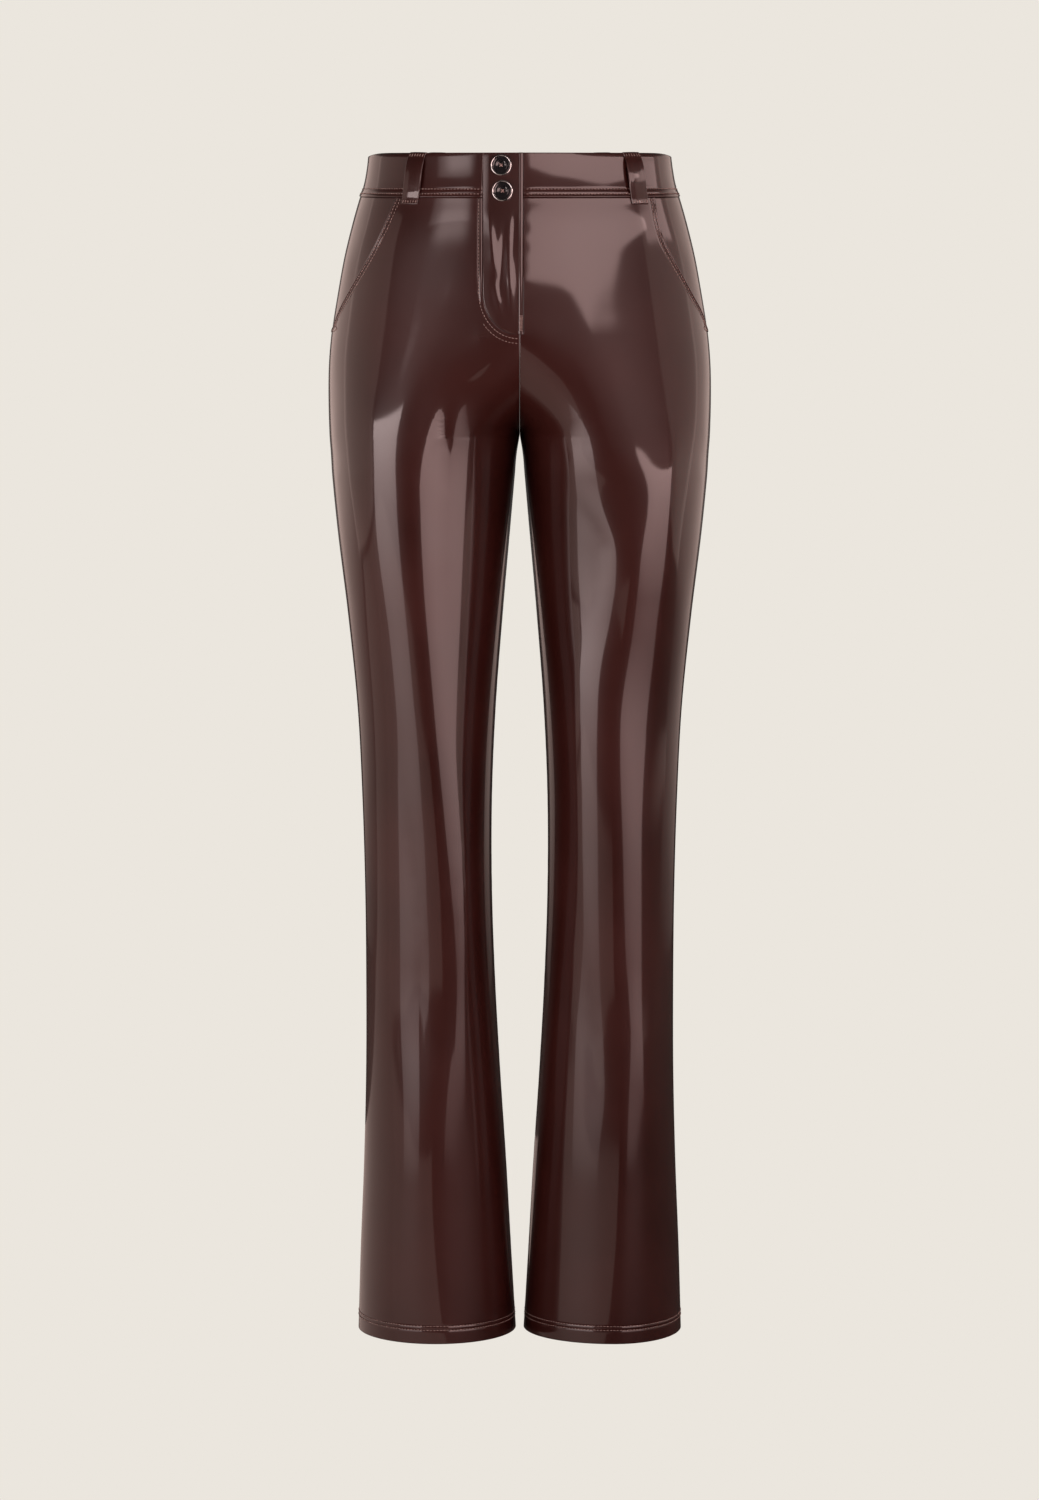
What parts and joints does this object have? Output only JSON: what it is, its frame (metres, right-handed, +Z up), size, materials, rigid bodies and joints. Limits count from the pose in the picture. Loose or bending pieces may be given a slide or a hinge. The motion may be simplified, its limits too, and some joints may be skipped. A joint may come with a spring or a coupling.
{
  "type": "flared trousers",
  "caption": "Close-fitting flared trousers in glossy coated stretch cloth, filled out and hollow, with a waistband, belt loops, curved pocket lines and a buttoned fly panel.",
  "frame": {"origin": "centre of the waist opening, half way up the waistband", "axes": "+Z up, -Y the front of the garment, +X the wearer's left"},
  "size_m": [0.3314, 0.238, 1.0288],
  "materials": {
    "cloth": "polished",
    "button_metal": "polished",
    "button_enamel": "polished"
  },
  "bodies": {
    "root": {"front_right": "cloth", "front_left": "cloth", "back_right": "cloth", "back_left": "cloth", "hip_panel_right": "cloth", "hip_panel_left": "cloth", "fly_panel": "cloth", "waistband_right": "cloth", "waistband_left": "cloth", "belt_loop_front_right": "cloth", "belt_loop_front_left": "cloth", "belt_loop_back_right": "cloth", "belt_loop_back_left": "cloth", "belt_loop_back_centre": "cloth", "button_upper_rim": "button_metal", "button_upper_face": "button_enamel", "button_lower_rim": "button_metal", "button_lower_face": "button_enamel"}
  },
  "joints": []
}
